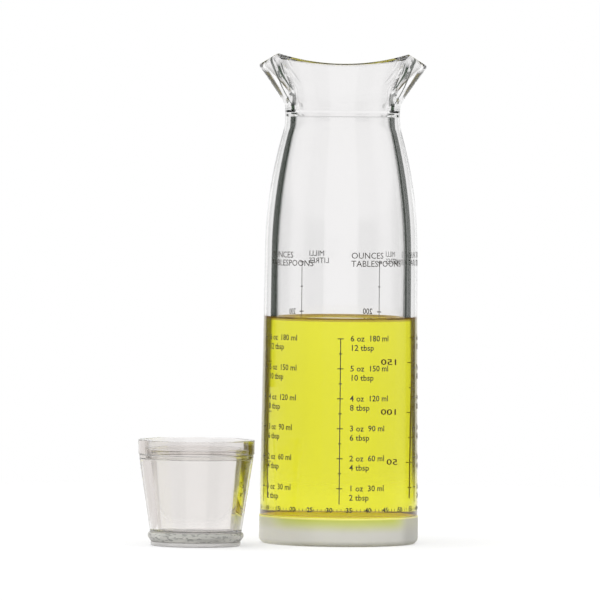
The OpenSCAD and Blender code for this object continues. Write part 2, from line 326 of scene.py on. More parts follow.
def lip_painted_shade(sizes, lips, streak, olive):
    """Painted shade in streaks on the pouring lips, where light leaves the wall sideways: an olive band along each
    lip's edge, a line up each side, a dark curve with finer strands where the lip meets the round mouth, a band at
    the foot of the flare, the rim's edge and the neck ridge."""
    def marks(net, shade, x, y, z):
        across, along = x.math("ABSOLUTE"), y.math("ABSOLUTE")
        angle = along.math("ARCTAN2", across) * (180 / math.pi)
        height = (z - sizes.neck_top) / MM
        radius = (x * x + y * y).math("SQRT") / MM
        outer_lip = net.ramp(radius - height * 0.63, 21.6, 22.6)
        outer_round = net.ramp(radius - height * 0.3, 21.8, 22.8)
        # the painted shade along and beside the lips is laid on fully at -Y and at 0.4 of its strength at +Y
        near_side = 1.0 - net.ramp(y, -2 * MM, 2 * MM) * 0.6
        turn = angle + net.noise(140.0, 2.0) * 1.6 - 0.8
        from_edge = turn + height * 0.25
        # painted shade: olive band along each lip's thick edge
        thick = net.ramp(turn, 5.2, 6.0) * (1.0 - net.ramp(from_edge, 15.8, 17.4))
        thick = thick * band(net, height, 6.0, 15.0, 2.5) * outer_lip
        grain = net.ramp(net.noise(700.0, 2.0, net.add("ShaderNodeCombineXYZ", {}, x, y, z * 0.1)), 0.42, 0.56)
        # painted shade: dark line up each side of a lip
        low = (10.0 - height).math("MAXIMUM", 0.0)
        crease = band(net, turn - low * low * 0.12, 19.0, 20.4, 0.7) * band(net, height, 2.5, 30.0, 1.5)
        # painted shade: dark curve with nested lines and strands where the lip meets the round mouth
        low = (16.9 - height).math("MAXIMUM", 0.0)
        from_bend = turn - low * low * 0.13 - 24.6
        curve = band(net, from_bend, -1.2, 1.1, 0.8) * band(net, height, 9.5, 17.5, 2.5)
        nested = band(net, from_bend, 3.0, 4.2, 0.6) * band(net, height, 15.0, 19.0, 1.0)
        strands = band(net, from_bend, -5.5, -1.8, 1.0) * band(net, height, 13.5, 20.0, 2.0)
        strands = strands * net.ramp(net.noise(420.0, 2.0), 0.47, 0.53)
        # painted shade: dark band at the foot of the flare, beside each lip
        flare_foot_shade = band(net, angle, 28.0, 33.0, 1.5) * band(net, height, -0.6, 2.0, 0.6)
        squared = (across / lips.peak_x).math("POWER", 2.0)
        dome = squared * (lips.peak_z - lips.low_z) + lips.low_z
        slope = (lips.peak_z - lips.tip_z) / (lips.reach - lips.peak_x)
        rim = dome.math("MINIMUM", lips.peak_z - (across - lips.peak_x) * slope)
        # painted shade: olive-brown line along the rim's edge
        edge = net.ramp(z - rim, -1.1 * MM, -0.2 * MM) * (1.0 - net.ramp(across, 17 * MM, 24 * MM) * 0.75)
        # painted shade: thin grey line on the inner neck ridge
        ridge = band(net, z, sizes.ridge_z - 1.3 * MM, sizes.ridge_z - 1.1 * MM, 0.1 * MM)
        ridge = ridge * (1.0 - net.ramp(radius, 20.3, 20.5))
        shade = net.mix(edge * 0.6, shade, (0.34, 0.31, 0.17, 1))
        shade = net.mix(thick * near_side, shade, net.mix(grain, rgba(olive), rgba(olive, 0.2)))
        dark = curve.math("MAXIMUM", nested * 0.97).math("MAXIMUM", strands * 0.93)
        dark = dark.math("MAXIMUM", crease * 0.97).math("MAXIMUM", flare_foot_shade)
        return net.mix((dark * outer_round * near_side).math("MAXIMUM", ridge * 0.5), shade, rgba(streak))
    return marks


def edge_marks(tone, *heights):
    """Fine dark lines round a ring at the heights where it meets its neighbour."""
    def marks(net, shade, x, y, z):
        for height in heights:
            line = band(net, z, height - 0.12 * MM, height + 0.12 * MM, 0.15 * MM)
            shade = net.mix(line * 0.7, shade, rgba(tone))
        return shade
    return marks


def frosted_plastic(colour, glow, seam, depth):
    """Translucent base plug: a fine sanded grain over a slightly uneven milkiness. Below the seam, painted light
    stands for the dressing's light in the plug, most at the front and the back, with a painted yellow highlight
    under the seam; painted shade darkens the lowest part and the +X end, and painted light glows from the -X end."""
    material, net = new_net("frosted_plug")
    place = net.coordinates()
    grain = net.noise(2600.0, 2.0, place)
    cloud = net.noise(45.0, 3.0, place)
    shade = net.mix(net.ramp(cloud, 0.3, 0.7), rgba(colour), rgba(colour, 0.94))
    x, _, height = net.parts(place)
    # painted light: the dressing's yellow light, fading down from the seam over depth, weaker towards the ±X ends
    lit = net.ramp(height + cloud * (1 * MM), seam - depth, seam)
    lit = lit * (0.3 + 0.7 * net.ramp(x.math("ABSOLUTE"), 31 * MM, 22 * MM))
    shade = net.mix(lit, shade, rgba(glow))
    # painted highlight: a yellow line just under the seam, in the colour here and in the emission below
    rim = net.ramp(height, seam - 0.9 * MM, seam - 0.3 * MM)
    shade = net.mix(rim, shade, (0.95, 0.92, 0.33, 1))
    # painted shade: darker over the lowest 2.5 mm
    shade = net.mix(net.ramp(height, 2.5 * MM, 0.0) * 0.5, shade, rgba(colour, 0.72))
    # painted shade: darker towards the +X end
    shade = net.mix(net.ramp(x, 25.5 * MM, 29.5 * MM) * 0.8, shade, rgba(colour, 0.66))
    # painted light: emission that brightens the -X end, then the yellow highlight under the seam
    bright = net.mix(net.ramp(x, -14 * MM, -27 * MM), (0, 0, 0, 1), rgba(colour, 0.3))
    bright = net.mix(rim, bright, (0.75, 0.66, 0.08, 1))
    shader = net.add("ShaderNodeBsdfPrincipled", {}, Base_Color=shade, Roughness=0.38 + cloud * 0.12, IOR=1.49,
                     Transmission_Weight=0.3, Emission_Color=bright, Emission_Strength=0.3,
                     Normal=net.bump(grain, 0.03 * MM, 0.6))
    net.surface(shader)
    return material


def dressing_finish(name, colour, ior, skin, top, bottom, wall):
    """Clear yellow dressing, paler towards the surface, with painted brown shade along the wall at its top and
    bottom, where light leaves it sideways, and a faint painted glow that is strongest there. top and bottom are
    heights, each given as (where clear, where brown)."""
    material, net = new_net(name)
    place = net.coordinates()
    x, y, height = net.parts(place)
    by_wall = net.ramp((x * x + y * y).math("SQRT"), wall - 7 * MM, wall - 2 * MM)
    # painted shade: brown along the wall just under the surface, and at the bottom, most near the wall
    upper = net.ramp(height, *top) * by_wall
    lower = net.ramp(height, *bottom) * (0.35 + 0.65 * by_wall)
    drift = net.noise(35.0, 3.0, place) * (8 * MM)
    oily = net.ramp(height + drift, 60 * MM, 100 * MM)
    shade = net.mix(oily, rgba(colour, 0.98), rgba((colour[0] * 1.01, colour[1] * 1.01, colour[2] * 1.25)))
    shade = net.mix(lower, shade, (0.72, 0.55, 0.28, 1))
    shade = net.mix(upper, shade, rgba(skin))
    ends = upper.math("MAXIMUM", lower * 0.15)
    # painted light: a faint red-brown glow everywhere, yellow-brown in the painted brown bands
    painted_glow = net.mix(ends, (0.022, 0.004, 0, 1), (0.07, 0.048, 0.005, 1))
    shader = net.add("ShaderNodeBsdfPrincipled", {}, Base_Color=shade, Roughness=0.0, IOR=ior,
                     Transmission_Weight=1.0, Emission_Color=painted_glow, Emission_Strength=1.0)
    net.surface(shader)
    return material


def soft_seal_finish(colour):
    """Soft translucent ring with a matt surface and small streaks round it."""
    material, net = new_net("soft_seal")
    place = net.coordinates()
    x, y, z = net.parts(place)
    streak = net.noise(90.0, 3.0, net.add("ShaderNodeCombineXYZ", {}, x, y, z * 6.0))
    speck = net.noise(420.0, 3.0, net.add("ShaderNodeCombineXYZ", {}, x, y, z * 2.5))
    shade = net.mix(net.ramp(streak, 0.35, 0.7), rgba(colour), rgba(colour, 0.72))
    shade = net.mix(net.ramp(speck, 0.52, 0.6) * 0.7, shade, rgba(colour, 0.35))
    shader = net.add("ShaderNodeBsdfPrincipled", {}, Base_Color=shade, Roughness=0.25 + streak * 0.15, IOR=1.43,
                     Transmission_Weight=0.2, Normal=net.bump(streak, 0.12 * MM))
    net.surface(shader)
    return material


def ink_finish(colour):
    """Screen-printed ink: charcoal, with thin places where the mesh of the screen shows."""
    material, net = new_net("printed_ink")
    place = net.coordinates()
    thin = net.ramp(net.noise(900.0, 2.0, place), 0.45, 0.7)
    shade = net.mix(thin, rgba(colour), rgba([channel + 0.05 for channel in colour]))
    shader = net.add("ShaderNodeBsdfPrincipled", {}, Base_Color=shade, Roughness=0.45 + thin * 0.2)
    net.surface(shader)
    return material


def deselect():
    if bpy.context.object and bpy.context.object.mode != "OBJECT":
        bpy.ops.object.mode_set(mode="OBJECT")
    bpy.ops.object.select_all(action="DESELECT")


def activate(piece):
    deselect()
    piece.select_set(True)
    bpy.context.view_layer.objects.active = piece


def turned(name, profile, turns, centre=(0, 0), closed=True):
    """Turns a profile of (radius, height) points: a ring is drawn out from each point to the next.
    A closed profile is a wall, whose last ring is bridged to its first; an open one gets flat ends."""
    deselect()
    radius, height = profile[0]
    bpy.ops.mesh.primitive_circle_add(vertices=turns, radius=radius, location=(*centre, height))
    piece = bpy.context.object
    piece.name = name
    bpy.ops.object.mode_set(mode="EDIT")
    bpy.ops.mesh.select_mode(type="EDGE")
    for next_radius, next_height in profile[1:]:
        bpy.ops.mesh.extrude_region_move(TRANSFORM_OT_translate={"value": (0, 0, next_height - height)})
        if abs(next_radius - radius) > 1e-9:
            grow = next_radius / radius
            bpy.ops.transform.resize(value=(grow, grow, 1), center_override=(*centre, next_height))
        radius, height = next_radius, next_height
    bpy.ops.mesh.select_all(action="DESELECT")
    bpy.ops.mesh.select_non_manifold(extend=False, use_wire=False, use_multi_face=False,
                                     use_non_contiguous=False, use_verts=False)
    if closed:
        bpy.ops.mesh.bridge_edge_loops()
    else:
        bpy.ops.mesh.edge_face_add()
    bpy.ops.mesh.select_all(action="SELECT")
    bpy.ops.mesh.normals_make_consistent(inside=False)
    bpy.ops.mesh.select_all(action="DESELECT")
    bpy.ops.object.mode_set(mode="OBJECT")
    bpy.ops.object.transform_apply(location=True, rotation=True, scale=True)
    return piece


def round_edges(piece, chosen, width, steps=3):
    """Rounds the ring whose points pass the test chosen(place)."""
    activate(piece)
    mesh = piece.data
    bpy.context.tool_settings.mesh_select_mode = (True, False, False)
    mesh.edges.foreach_set("select", [False] * len(mesh.edges))
    mesh.polygons.foreach_set("select", [False] * len(mesh.polygons))
    mesh.vertices.foreach_set("select", [chosen(vertex.co) for vertex in mesh.vertices])
    bpy.ops.object.mode_set(mode="EDIT")
    bpy.ops.mesh.bevel(offset=width, segments=steps, profile=0.5, affect="EDGES", clamp_overlap=True)
    bpy.ops.mesh.select_all(action="DESELECT")
    bpy.ops.object.mode_set(mode="OBJECT")


def near(radius, height, centre=(0, 0), slack=0.02 * MM):
    """A test for points on the ring of that radius and height."""
    def test(co):
        return (abs(math.hypot(co.x - centre[0], co.y - centre[1]) - radius) < slack
                and abs(co.z - height) < slack)
    return test


def finish(piece, body, node, materials, smooth=math.radians(40)):
    """Smooth shading that keeps flats flat, then the piece's body, node, slot and finish."""
    activate(piece)
    bpy.ops.object.shade_smooth_by_angle(angle=smooth)
    weighted = piece.modifiers.new("even_normals", "WEIGHTED_NORMAL")
    weighted.mode = "FACE_AREA_WITH_ANGLE"
    weighted.keep_sharp = True
    bpy.ops.object.modifier_apply(modifier=weighted.name)
    piece.data.materials.clear()
    for material in materials:
        piece.data.materials.append(material)
    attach(piece, body)
    if node:
        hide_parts(node)


def s_run(r0, z0, r1, z1, curve, steps=26, curve_steps=12):
    """Points from (r0, z0) in to (r1, z1), upright at both ends: an outward arc, then a hollow one."""
    span = ((r0 - r1) ** 2 + (z1 - z0) ** 2) / (2 * (r0 - r1))
    big = span - curve
    turn = math.asin((z1 - z0) / span)
    out = [(r0 - big * (1 - math.cos(turn * i / steps)), z0 + big * math.sin(turn * i / steps))
           for i in range(steps + 1)]
    for i in range(1, curve_steps + 1):
        angle = turn * (1 - i / curve_steps)
        out.append((r1 + curve * (1 - math.cos(angle)), z1 - curve * math.sin(angle)))
    return out


def wall_radius(sizes, height):
    """Outer radius of the straight body at a height below the shoulder."""
    share = (height - sizes.base_h) / (sizes.shoulder_z - sizes.base_h)
    return sizes.foot_r + (sizes.shoulder_r - sizes.foot_r) * share


class MouthShape:
    """Where the plain tube above the neck goes when its mouth is flared and pinched into two lips."""

    def __init__(self, sizes, lips):
        self.sizes = sizes
        self.lips = lips

    def rim_height(self, x):
        lips = self.lips
        if abs(x) < lips.peak_x:
            return lips.low_z + (lips.peak_z - lips.low_z) * (x / lips.peak_x) ** 2
        return lips.peak_z - (lips.peak_z - lips.tip_z) * (abs(x) - lips.peak_x) / (lips.reach - lips.peak_x)

    @staticmethod
    def flare(ease, height, low, low_r, high, high_r):
        """Radius on the way from the end of a straight run at low to high, starting gently."""
        rise, full = max(0.0, height - low), high - low
        return low_r + (high_r - low_r) * (math.hypot(rise, ease) - ease) / (math.hypot(full, ease) - ease)

    def lip_share(self, angle, flat, side):
        """All of the lip across its flat end, none past its side, with softened creases."""
        share = (side - angle) / (side - flat)
        soft = self.lips.soft
        return 0.5 * (math.hypot(share, soft) - math.hypot(share - 1, soft) + 1)

    def radius(self, wall_share, angle, height):
        """Radius at a height, at wall_share of the way through the wall from inside."""
        sizes, lips = self.sizes, self.lips
        neck_top, slope = sizes.neck_top, math.tan(lips.seat_slope)
        seat = sizes.throat_r + (height - neck_top) * slope
        inner_r = lips.mouth_r - lips.mouth_wall - (lips.peak_z - neck_top) * slope
        floor_r = lips.reach - lips.wall - (lips.tip_z - neck_top) * slope
        round_in = seat + self.flare(lips.ease, height, lips.seat_z, 0, lips.peak_z, inner_r - sizes.throat_r)
        lip_in = seat + self.flare(lips.ease, height, lips.seat_z, 0, lips.tip_z, floor_r - sizes.throat_r)
        round_out = self.flare(lips.outer_ease, height, neck_top, sizes.neck_r, lips.peak_z, lips.mouth_r)
        lip_out = self.flare(lips.outer_ease, height, neck_top, sizes.neck_r, lips.tip_z, lips.reach)
        out = round_out + (lip_out - round_out) * self.lip_share(angle, lips.end_half, lips.side_half)
        inner = round_in + (lip_in - round_in) * self.lip_share(angle, lips.floor_half, lips.channel_half)
        return inner + (out - inner) * wall_share

    def top(self, wall_share, turn, angle):
        """Height of the rim there, found by going back and forth between wall and rim."""
        height = self.lips.tip_z
        for _ in range(30):
            reach = self.radius(wall_share, angle, height) * abs(math.cos(turn))
            height = (height + self.rim_height(reach)) / 2
        return height

    def place(self, co, tube_h):
        sizes = self.sizes
        wall_share = (math.hypot(co.x, co.y) - sizes.throat_r) / (sizes.neck_r - sizes.throat_r)
        share = (co.z - sizes.neck_top) / tube_h
        turn = math.atan2(co.y, co.x)
        angle = min(abs(turn), math.pi - abs(turn))
        height = sizes.neck_top + (self.top(wall_share, turn, angle) - sizes.neck_top) * share
        radius = self.radius(wall_share, angle, height)
        return Vector((radius * math.cos(turn), radius * math.sin(turn), height))


class SHAKER_OT_bottle_shell(bpy.types.Operator):
    """Turn the clear body, shoulder and neck, then flare the mouth into its two pouring lips"""
    bl_idname = "shaker.bottle_shell"
    bl_label = "Bottle Shell"

    def execute(self, context):
        s, lips, fill = context.scene.shaker_bottle, context.scene.shaker_lips, context.scene.shaker_fill
        finishes = context.scene.shaker_finishes
        tube_h, rings = 20 * MM, 16
        foot = s.base_h + s.seam_gap
        wet = fill.level + fill.climb
        outside = [(s.foot_r, foot), (wall_radius(s, foot + 2 * MM), foot + 2 * MM)]
        outside += s_run(s.shoulder_r, s.shoulder_z, s.neck_r, s.neck_z, s.neck_curve)
        outside += [(s.neck_r, s.neck_top + tube_h * i / rings) for i in range(rings + 1)]
        inside = [(s.throat_r, s.neck_top + tube_h * i / rings) for i in range(rings, -1, -1)]
        half = s.ridge_land / 2
        inside += [(s.throat_r, s.ridge_z + half + s.ridge_flank), (s.ridge_r, s.ridge_z + half),
                   (s.ridge_r, s.ridge_z - half), (s.throat_r, s.ridge_z - half - s.ridge_flank)]
        inside += s_run(s.bore_r, s.bore_z, s.throat_r, s.neck_z, s.neck_curve)[::-1]
        inside += [(s.bore_r, wet), (s.bore_r, foot + 2 * MM), (s.bore_r, foot)]
        shell = turned("clear_shell", outside + inside, s.turns)
        rim = s.neck_top + tube_h
        round_edges(shell, near(s.neck_r, rim), lips.rim_round, 4)
        round_edges(shell, near(s.throat_r, rim), lips.rim_round, 4)
        round_edges(shell, near(s.foot_r, foot), 0.5 * MM)
        for radius, height in inside[rings + 1:rings + 5]:
            round_edges(shell, near(radius, height), 0.15 * MM, 2)
        mouth = MouthShape(s, lips)
        for vertex in shell.data.vertices:
            if vertex.co.z > s.neck_top + 1e-6:
                vertex.co = mouth.place(vertex.co, tube_h)
        # painted shade of the lips and the rim, mixed into the dry plastic's colour
        marks = lip_painted_shade(s, lips, finishes.streak, finishes.olive)
        dry = clear_plastic("clear_plastic", finishes.clear, finishes.shell_ior, marks=marks)
        wet_wall = clear_plastic("wetted_plastic", finishes.clear, finishes.shell_ior / finishes.oil_ior, 0.0, 0.0)
        finish(shell, "bottle", "bottle_shell", [dry, wet_wall])
        for face in shell.data.polygons:
            middle = face.center
            if middle.z < wet and math.hypot(middle.x, middle.y) < s.bore_r + 0.01 * MM:
                face.material_index = 1
        return {"FINISHED"}


class SHAKER_OT_base_plug(bpy.types.Operator):
    """Turn the frosted base plug with its bevelled foot and recessed underside"""
    bl_idname = "shaker.base_plug"
    bl_label = "Base Plug"

    def execute(self, context):
        s, finishes = context.scene.shaker_bottle, context.scene.shaker_finishes
        profile = [
            (s.recess_r - 1 * MM, s.recess_h), (s.recess_r, s.recess_h), (s.recess_r, 0),
            (s.base_r - s.base_bevel, 0), (s.base_r, s.base_bevel), (s.base_r, s.base_h),
            (s.base_r - 1 * MM, s.base_h), (s.bore_r, s.base_h), (s.bore_r - 1 * MM, s.base_h),
        ]
        plug = turned("frosted_base", profile, s.turns, closed=False)
        round_edges(plug, near(s.base_r - s.base_bevel, 0), 0.7 * MM, 4)
        round_edges(plug, near(s.base_r, s.base_bevel), 0.7 * MM, 4)
        round_edges(plug, near(s.base_r, s.base_h), 0.35 * MM, 3)
        round_edges(plug, near(s.recess_r, 0), 0.4 * MM)
        round_edges(plug, near(s.recess_r, s.recess_h), 0.5 * MM)
        finish(plug, "bottle", "base_plug", [frosted_plastic(finishes.frost, finishes.glow, s.base_h, 6.5 * MM)])
        return {"FINISHED"}


class SHAKER_OT_dressing(bpy.types.Operator):
    """Fill the body with dressing, up to a surface that climbs at the wall"""
    bl_idname = "shaker.dressing"
    bl_label = "Dressing"

    def execute(self, context):
        s, fill, finishes = context.scene.shaker_bottle, context.scene.shaker_fill, context.scene.shaker_finishes
        edge_r = s.bore_r - 0.01 * MM
        floor = s.base_h + 0.02 * MM
        steps = 7
        profile = [(edge_r - 2 * MM, floor), (edge_r, floor), (edge_r, floor + 2 * MM),
                   (edge_r, fill.level - 1 * MM), (edge_r, fill.level + fill.climb)]
        for i in range(1, steps + 1):
            angle = math.pi / 2 * i / steps
            profile.append((edge_r - fill.climb * math.sin(angle), fill.level + fill.climb * (1 - math.sin(angle))))
        profile += [(edge_r - 3 * MM, fill.level), (edge_r - 8 * MM, fill.level)]
        body = turned("dressing_fill", profile, s.turns, closed=False)
        # the painted brown shade lines: their colour, heights at the top, heights at the bottom and the wall's
        # radius
        skin = (finishes.skin, (fill.level - fill.skin - 0.3 * MM, fill.level - fill.skin),
                (floor + fill.sump, floor + fill.sump * 0.5), edge_r)
        side = dressing_finish("dressing_side", finishes.oil, 1.0, *skin)
        top = dressing_finish("dressing_surface", finishes.oil, finishes.oil_ior, *skin)
        finish(body, "bottle", "dressing", [side, top])
        for face in body.data.polygons:
            if face.normal.z > 0.05 and face.center.z > fill.level - 0.5 * MM:
                face.material_index = 1
        return {"FINISHED"}


def printed_bar(width, height, angle, low, parts):
    """A flat upright strip centred on an angle round the body; it is wrapped on the wall later."""
    deselect()
    bpy.ops.mesh.primitive_grid_add(x_subdivisions=max(1, int(width / (1.2 * MM))),
                                    y_subdivisions=max(1, int(height / (10 * MM))), size=1,
                                    location=(angle, 0, low + height / 2), rotation=(math.pi / 2, 0, 0))
    bar = bpy.context.object
    bar.scale = (width, height, 1)
    bpy.ops.object.transform_apply(location=True, rotation=True, scale=True)
    parts.append(bar)


def printed_word(word, size_m, x, z, parts, anchor="LEFT", bold=0.0):
    deselect()
    bpy.ops.object.text_add(location=(x, 0, z), rotation=(math.pi / 2, 0, 0))
    text = bpy.context.object
    text.data.body = word
    text.data.size = size_m
    text.data.offset = bold
    text.data.align_x = anchor
    text.data.align_y = "CENTER"
    text.data.resolution_u = 2
    bpy.ops.object.convert(target="MESH")
    bpy.ops.object.transform_apply(location=True, rotation=True, scale=True)
    parts.append(bpy.context.object)


class SHAKER_OT_measuring_scales(bpy.types.Operator):
    """Print plain numbered scales round the body, fluid ounces and millilitres by turns"""
    bl_idname = "shaker.measuring_scales"
    bl_label = "Measuring Scales"

    @staticmethod
    def scale(s, ink, parts, step, steps, words):
        """An upright line with ticks, and one row or two of text at each whole step."""
        printed_bar(ink.line_w, s.base_h + step * steps - ink.low_z, 0, ink.low_z, parts)
        for i in range(1, 2 * steps + 1):
            height = s.base_h + step * i / 2
            if height < ink.low_z + ink.row_step:
                continue
            whole = i % 2 == 0
            printed_bar(ink.tick * (1 if whole else 0.55), ink.line_w, 0, height - ink.line_w / 2, parts)
            if whole:
                for row, word in enumerate(words(i // 2)):
                    printed_word(word, ink.digit, ink.row_x, height - ink.row_gap * row, parts, bold=ink.line_w / 9)

    @staticmethod
    def wrap(s, parts, turn):
        for part in parts:
            for vertex in part.data.vertices:
                radius = wall_radius(s, vertex.co.z) + 0.01 * MM
                angle = turn + vertex.co.x / radius
                vertex.co = Vector((radius * math.cos(angle), radius * math.sin(angle), vertex.co.z))

    def execute(self, context):
        s, ink = context.scene.shaker_bottle, context.scene.shaker_print
        finishes = context.scene.shaker_finishes
        parts = []
        for column in range(ink.columns):
            start = len(parts)
            turn = 2 * math.pi * column / ink.columns - math.pi / 2
            if column in (2, 3):
                self.scale(s, ink, parts, ink.fifty_ml, 5, lambda i: ["%d" % (50 * i)] if i < 5 else [])
                headings, side, anchor = ("MILLI", "LITRES"), -1, "RIGHT"
            else:
                self.scale(s, ink, parts, ink.ounce, 6,
                           lambda i: ["%d oz  %d ml" % (i, 30 * i), "%d tbsp" % (2 * i)])
                headings, side, anchor = ("OUNCES", "TABLESPOONS"), 1, "LEFT"
            for i, heading in enumerate(headings):
                printed_word(heading, ink.heading, side * ink.row_x, ink.heading_z - ink.row_step * i, parts,
                             anchor)
            self.wrap(s, parts[start:], turn)
        for i in range(ink.ring_marks):
            start = len(parts)
            printed_word(str(5 * (i + 1)), ink.ring_digit, 0, ink.ring_z, parts, "CENTER", ink.line_w / 5)
            for part in range(1, 5):
                printed_bar(ink.line_w * 0.6, ink.ring_digit * 0.4, part * ink.ring_step / 5,
                            ink.ring_z - ink.ring_digit * 0.2, parts)
            turn = (i - (ink.ring_marks - 1) / 2) * ink.ring_step / s.foot_r
            self.wrap(s, parts[start:], turn - math.pi / 2)
        deselect()
        for part in parts:
            part.select_set(True)
        bpy.context.view_layer.objects.active = parts[0]
        bpy.ops.object.join()
        scales = bpy.context.object
        scales.name = "measuring_scales"
        bpy.ops.object.mode_set(mode="EDIT")
        bpy.ops.mesh.select_all(action="SELECT")
        bpy.ops.mesh.quads_convert_to_tris()
        bpy.ops.object.mode_set(mode="OBJECT")
        thick = scales.modifiers.new("ink_film", "SOLIDIFY")
        thick.thickness = ink.film
        thick.offset = 1.0
        bpy.ops.object.modifier_apply(modifier=thick.name)
        scales.data.materials.clear()
        scales.data.materials.append(ink_finish(finishes.ink))
        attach(scales, "bottle")
        return {"FINISHED"}


class SHAKER_OT_stopper_cup(bpy.types.Operator):
    """Turn the clear conical cup with its spigot below and its step above"""
    bl_idname = "shaker.stopper_cup"
    bl_label = "Stopper Cup"

    def execute(self, context):
        s, finishes = context.scene.shaker_cup, context.scene.shaker_finishes
        cone_z, step_z = SEAL_HIGH.z, RING_LOW.z
        cone_high_r = RING_HIGH.x - STOPPER[0] - 0.1 * MM
        spigot_r = s.cone_low_r + 0.8 * MM - 3.2 * MM
        step_r = cone_high_r - s.step_w - s.fit_gap
        high_r = cone_high_r - s.wall_high
        low_r = s.cone_low_r - s.wall_low
        floor = cone_z + s.floor_rise
        profile = [
            (spigot_r - 2 * MM, SEAL_LOW.z + s.fit_gap), (spigot_r, SEAL_LOW.z + s.fit_gap),
            (spigot_r, cone_z + s.fit_gap), (s.cone_low_r, cone_z + s.fit_gap),
            (s.cone_low_r + (cone_high_r - s.cone_low_r) * 0.5, (cone_z + step_z) / 2),
            (cone_high_r, step_z - s.fit_gap), (step_r, step_z - s.fit_gap), (step_r, CUP_HIGH.z),
            (high_r, CUP_HIGH.z), (high_r, step_z),
            ((high_r + low_r) / 2, (step_z + floor) / 2), (low_r, floor), (low_r - 2 * MM, floor),
        ]
        cup = turned("clear_cup", profile, s.turns, STOPPER, closed=False)
        for radius, height, width in (
                (s.cone_low_r, cone_z + s.fit_gap, s.edge), (cone_high_r, step_z - s.fit_gap, 0.15 * MM),
                (step_r, CUP_HIGH.z, s.edge), (high_r, CUP_HIGH.z, s.edge), (low_r, floor, 1.2 * MM)):
            round_edges(cup, near(radius, height, STOPPER), width, 4)
        finish(cup, "stopper", "stopper_cup",
               [clear_plastic("cup_plastic", finishes.cup, 1.49, 0.03)])
        return {"FINISHED"}


class SHAKER_OT_stopper_rings(bpy.types.Operator):
    """Turn the stopper's upper ring, wavy-edged collar, soft lower seal and foot disc"""
    bl_idname = "shaker.stopper_rings"
    bl_label = "Stopper Rings"

    def execute(self, context):
        s, finishes = context.scene.shaker_cup, context.scene.shaker_finishes
        gap, (x, y) = s.fit_gap, STOPPER
        ring_r, collar_r = RING_HIGH.x - x, COLLAR_HIGH.x - x
        seal_r, foot_r = SEAL_HIGH.x - x, FOOT_HIGH.x - x
        step_r = ring_r - 0.1 * MM - s.step_w
        seam = (0.03, 0.028, 0.025)
        lines = edge_marks(seam, RING_LOW.z + gap, RING_HIGH.z - gap)
        ring_finish = clear_plastic("ring_plastic", finishes.ring, 1.49, 0.06, marks=lines)
        ring = turned("upper_ring", [(step_r, RING_LOW.z + gap), (ring_r, RING_LOW.z + gap),
                                     (ring_r, RING_HIGH.z - gap), (step_r, RING_HIGH.z - gap)], s.turns, STOPPER)
        for height in (RING_LOW.z + gap, RING_HIGH.z - gap):
            round_edges(ring, near(ring_r, height, STOPPER), 0.45 * MM, 4)
        finish(ring, "stopper", "stopper_upper_ring", [ring_finish])

        low, high = COLLAR_LOW.z + gap, COLLAR_HIGH.z - s.wave
        middle = (low + high) / 2
        collar = turned("collar", [(step_r, low), (collar_r, low), (collar_r, middle), (collar_r, high),
                                   (step_r, high), (step_r, middle)], s.turns, STOPPER)
        for radius in (step_r, collar_r):
            round_edges(collar, near(radius, high, STOPPER), s.edge * 1.3, 4)
        round_edges(collar, near(collar_r, low, STOPPER), s.edge, 3)
        for vertex in collar.data.vertices:
            share = max(0.0, (vertex.co.z - middle) / (high - middle))
            turn = math.atan2(vertex.co.y - y, vertex.co.x - x)
            ripple = math.sin(s.waves * turn) + 0.6 * math.sin(17 * turn + 1) + 0.5 * math.sin(29 * turn + 4)
            vertex.co.z += s.wave * share * 0.4 * ripple
        finish(collar, "stopper", "stopper_collar",
               [clear_plastic("collar_plastic", finishes.collar, 1.49, 0.05, 0.03 * MM)])

        inner = s.cone_low_r + 0.8 * MM - 3.2 * MM + gap
        low, high = SEAL_LOW.z + gap, SEAL_HIGH.z - gap
        seal = turned("lower_seal", [
            (inner, low), (seal_r - 1.2 * MM, low), (seal_r, low + 1.8 * MM), (seal_r, high - 0.6 * MM),
            (seal_r - 0.6 * MM, high), (inner, high)], s.turns, STOPPER)
        for radius, height in ((seal_r - 1.2 * MM, low), (seal_r, low + 1.8 * MM), (seal_r, high - 0.6 * MM),
                               (seal_r - 0.6 * MM, high)):
            round_edges(seal, near(radius, height, STOPPER), 0.28 * MM, 3)
        finish(seal, "stopper", "stopper_lower_seal", [soft_seal_finish(finishes.seal)])

        foot = turned("foot_disc", [
            (foot_r - 3 * MM, 0), (foot_r - 0.4 * MM, 0), (foot_r, 0.4 * MM), (foot_r, FOOT_HIGH.z - gap),
            (foot_r - 3 * MM, FOOT_HIGH.z - gap)], s.turns, STOPPER, closed=False)
        round_edges(foot, near(foot_r, FOOT_HIGH.z - gap, STOPPER), 0.3 * MM)
        round_edges(foot, near(foot_r, 0.4 * MM, STOPPER), 0.25 * MM)
        finish(foot, "stopper", "stopper_foot", 
               [clear_plastic("foot_plastic", (0.96, 0.945, 0.925), 1.49, 0.1, clarity=0.35)])
        return {"FINISHED"}


